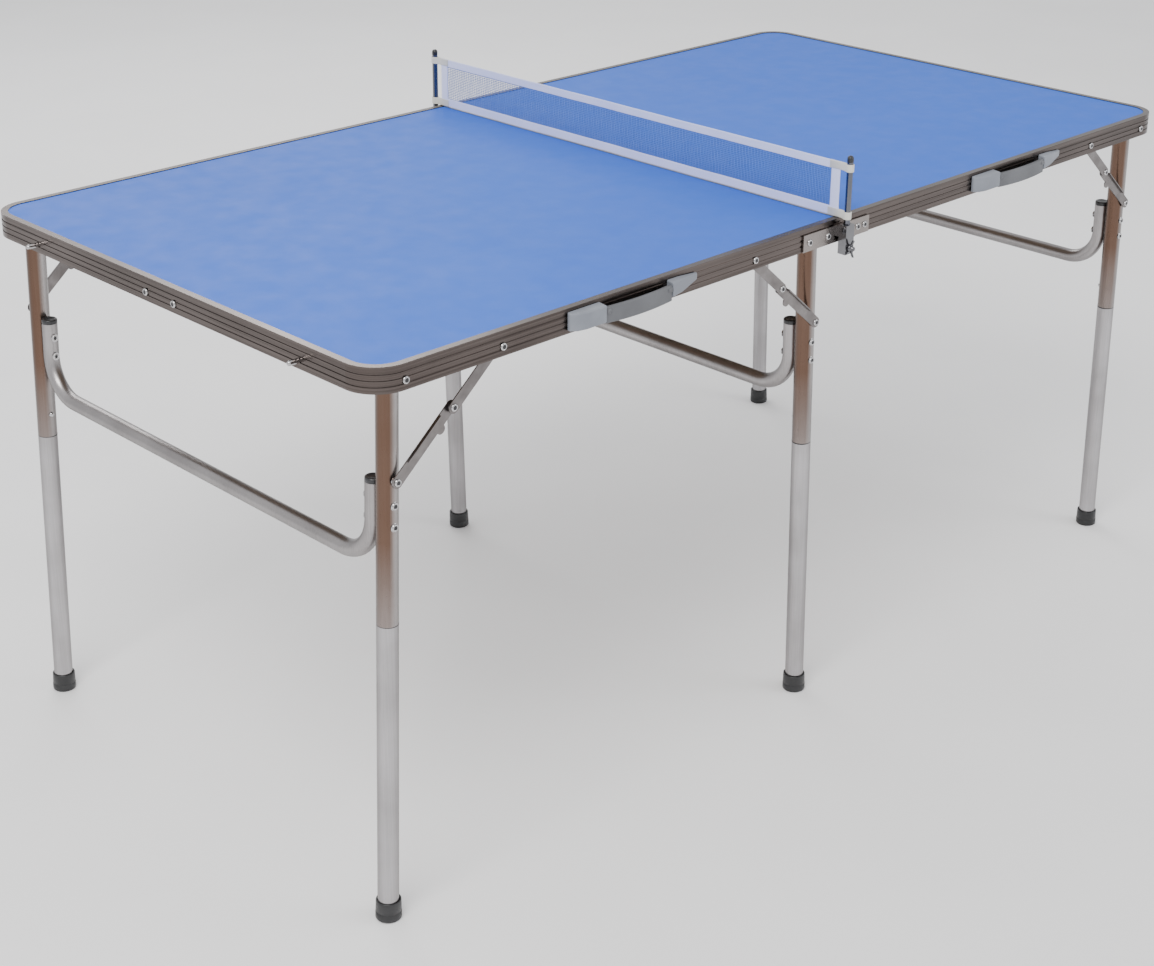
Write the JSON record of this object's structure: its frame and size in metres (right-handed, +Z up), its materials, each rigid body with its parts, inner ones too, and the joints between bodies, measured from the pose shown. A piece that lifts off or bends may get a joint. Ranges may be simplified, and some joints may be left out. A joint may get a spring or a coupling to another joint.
{
  "type": "folding table tennis table",
  "caption": "Compact folding table tennis table: two hinged blue tops in metal rails, folding tube legs in pairs with braces, a clamped net, carrying handles and case latches.",
  "frame": {"origin": "on the floor under the middle of the table, between the two halves", "axes": "+X along the table's length, +Y across it away from the side with the carrying handles, +Z up"},
  "size_m": [1.5497, 0.8136, 0.773],
  "materials": {
    "blue_top": "satin",
    "rail_metal": "brushed",
    "trim_metal": "satin",
    "steel_plate": "satin",
    "chrome_tube": "polished",
    "chrome_rivet": "polished",
    "black_rubber": "matte",
    "black_plastic": "matte",
    "grey_plastic": "satin",
    "bracket_plastic": "satin",
    "net_fabric": "woven",
    "button_steel": "polished"
  },
  "bodies": {
    "table_left": {"edge_frame_left": "rail_metal", "top_board_left": "blue_top", "centre_trim_left": "trim_metal", "splice_plate": "steel_plate", "hinge_plates_left": "steel_plate", "hinge_pins": "chrome_rivet", "frame_rivets_left": "chrome_rivet", "latch_studs": "chrome_rivet", "handle_brackets_left": "bracket_plastic", "post_clamps": "steel_plate"},
    "table_right": {"edge_frame_right": "rail_metal", "top_board_right": "blue_top", "centre_trim_right": "trim_metal", "hinge_plates_right": "steel_plate", "frame_rivets_right": "chrome_rivet", "handle_brackets_right": "bracket_plastic"},
    "legs_left": {"upper_leg_left_near": "chrome_tube", "upper_leg_left_far": "chrome_tube", "lower_leg_left_near": "chrome_tube", "lower_leg_left_far": "chrome_tube", "foot_caps_left": "black_rubber", "cross_bar_left": "chrome_tube", "cross_bar_caps_left": "black_plastic", "leg_rivets_left": "chrome_rivet"},
    "brace_upper_left": {"brace_upper_left": "steel_plate"},
    "brace_lower_left": {"brace_lower_left": "steel_plate"},
    "snap_button_left_near": {"snap_button_left_near": "button_steel"},
    "snap_button_left_far": {"snap_button_left_far": "button_steel"},
    "legs_middle": {"upper_leg_middle_near": "chrome_tube", "upper_leg_middle_far": "chrome_tube", "lower_leg_middle_near": "chrome_tube", "lower_leg_middle_far": "chrome_tube", "foot_caps_middle": "black_rubber", "cross_bar_middle": "chrome_tube", "cross_bar_caps_middle": "black_plastic", "leg_rivets_middle": "chrome_rivet"},
    "brace_upper_middle": {"brace_upper_middle": "steel_plate"},
    "brace_lower_middle": {"brace_lower_middle": "steel_plate"},
    "snap_button_middle_near": {"snap_button_middle_near": "button_steel"},
    "snap_button_middle_far": {"snap_button_middle_far": "button_steel"},
    "legs_right": {"upper_leg_right_near": "chrome_tube", "upper_leg_right_far": "chrome_tube", "lower_leg_right_near": "chrome_tube", "lower_leg_right_far": "chrome_tube", "foot_caps_right": "black_rubber", "cross_bar_right": "chrome_tube", "cross_bar_caps_right": "black_plastic", "leg_rivets_right": "chrome_rivet"},
    "brace_upper_right": {"brace_upper_right": "steel_plate"},
    "brace_lower_right": {"brace_lower_right": "steel_plate"},
    "snap_button_right_near": {"snap_button_right_near": "button_steel"},
    "snap_button_right_far": {"snap_button_right_far": "button_steel"},
    "net": {"net_posts": "chrome_tube", "net_cloth": "net_fabric"},
    "wing_screw_near": {"wing_screw_near": "chrome_rivet"},
    "latch_near": {"latch_near": "steel_plate"},
    "wing_screw_far": {"wing_screw_far": "chrome_rivet"},
    "latch_far": {"latch_far": "steel_plate"},
    "handle_left": {"handle_grip_left": "grey_plastic"},
    "handle_right": {"handle_grip_right": "grey_plastic"}
  },
  "joints": [
    {"name": "centre_fold", "type": "hinge", "parent": "table_left", "child": "table_right", "pos_m": [0, 0, 0.66], "axis": [0, 1, 0], "range_deg": [0, 90]},
    {"name": "leg_fold_left", "type": "hinge", "parent": "table_left", "child": "legs_left", "pos_m": [-0.717, 0, 0.671], "axis": [0, 1, 0], "range_deg": [-90, 0]},
    {"name": "brace_upper_fold_left", "type": "hinge", "parent": "table_left", "child": "brace_upper_left", "pos_m": [-0.581, 0, 0.671], "axis": [0, 1, 0], "range_deg": [-137.2, 0]},
    {"name": "brace_lower_fold_left", "type": "hinge", "parent": "legs_left", "child": "brace_lower_left", "pos_m": [-0.72077, 0, 0.55106], "axis": [0, 1, 0], "range_deg": [0, 130.32]},
    {"name": "button_press_left_near", "type": "slide", "parent": "legs_left", "child": "snap_button_left_near", "axis": [0, -1, 0], "range_m": [0, 0.0035], "stiffness_N_per_m": 800},
    {"name": "button_press_left_far", "type": "slide", "parent": "legs_left", "child": "snap_button_left_far", "axis": [0, 1, 0], "range_m": [0, 0.0035], "stiffness_N_per_m": 800},
    {"name": "leg_fold_middle", "type": "hinge", "parent": "table_left", "child": "legs_middle", "pos_m": [-0.032, 0, 0.671], "axis": [0, 1, 0], "range_deg": [0, 90]},
    {"name": "brace_upper_fold_middle", "type": "hinge", "parent": "table_left", "child": "brace_upper_middle", "pos_m": [-0.168, 0, 0.671], "axis": [0, 1, 0], "range_deg": [0, 137.2]},
    {"name": "brace_lower_fold_middle", "type": "hinge", "parent": "legs_middle", "child": "brace_lower_middle", "pos_m": [-0.02823, 0, 0.55106], "axis": [0, 1, 0], "range_deg": [-130.32, 0]},
    {"name": "button_press_middle_near", "type": "slide", "parent": "legs_middle", "child": "snap_button_middle_near", "axis": [0, -1, 0], "range_m": [0, 0.0035], "stiffness_N_per_m": 800},
    {"name": "button_press_middle_far", "type": "slide", "parent": "legs_middle", "child": "snap_button_middle_far", "axis": [0, 1, 0], "range_m": [0, 0.0035], "stiffness_N_per_m": 800},
    {"name": "leg_fold_right", "type": "hinge", "parent": "table_right", "child": "legs_right", "pos_m": [0.71, 0, 0.671], "axis": [0, 1, 0], "range_deg": [0, 90]},
    {"name": "brace_upper_fold_right", "type": "hinge", "parent": "table_right", "child": "brace_upper_right", "pos_m": [0.574, 0, 0.671], "axis": [0, 1, 0], "range_deg": [0, 137.2]},
    {"name": "brace_lower_fold_right", "type": "hinge", "parent": "legs_right", "child": "brace_lower_right", "pos_m": [0.71377, 0, 0.55106], "axis": [0, 1, 0], "range_deg": [-130.32, 0]},
    {"name": "button_press_right_near", "type": "slide", "parent": "legs_right", "child": "snap_button_right_near", "axis": [0, -1, 0], "range_m": [0, 0.0035], "stiffness_N_per_m": 800},
    {"name": "button_press_right_far", "type": "slide", "parent": "legs_right", "child": "snap_button_right_far", "axis": [0, 1, 0], "range_m": [0, 0.0035], "stiffness_N_per_m": 800},
    {"name": "net_lift", "type": "slide", "parent": "table_left", "child": "net", "axis": [0, 0, 1], "range_m": [0, 0.05]},
    {"name": "wing_screw_turn_near", "type": "hinge", "parent": "table_left", "child": "wing_screw_near", "pos_m": [-0.008, -0.40065, 0.654], "axis": [0, -1, 0], "continuous": true},
    {"name": "latch_turn_near", "type": "hinge", "parent": "table_right", "child": "latch_near", "pos_m": [0.762, -0.262, 0.671], "axis": [1, 0, 0], "range_deg": [0, 90]},
    {"name": "wing_screw_turn_far", "type": "hinge", "parent": "table_left", "child": "wing_screw_far", "pos_m": [-0.008, 0.40065, 0.654], "axis": [0, 1, 0], "continuous": true},
    {"name": "latch_turn_far", "type": "hinge", "parent": "table_right", "child": "latch_far", "pos_m": [0.762, 0.262, 0.671], "axis": [1, 0, 0], "range_deg": [-90, 0]},
    {"name": "handle_swing_left", "type": "hinge", "parent": "table_left", "child": "handle_left", "pos_m": [-0.381, -0.3895, 0.676], "axis": [-1, 0, 0], "range_deg": [0, 90]},
    {"name": "handle_swing_right", "type": "hinge", "parent": "table_right", "child": "handle_right", "pos_m": [0.381, -0.3895, 0.676], "axis": [-1, 0, 0], "range_deg": [0, 90]}
  ],
  "couplings": [
    {"joint": "brace_upper_fold_left", "follows": "leg_fold_left", "ratio": 1.5243},
    {"joint": "brace_lower_fold_left", "follows": "leg_fold_left", "ratio": -1.4479},
    {"joint": "brace_upper_fold_middle", "follows": "leg_fold_middle", "ratio": 1.5243},
    {"joint": "brace_lower_fold_middle", "follows": "leg_fold_middle", "ratio": -1.4479},
    {"joint": "brace_upper_fold_right", "follows": "leg_fold_right", "ratio": 1.5243},
    {"joint": "brace_lower_fold_right", "follows": "leg_fold_right", "ratio": -1.4479}
  ]
}
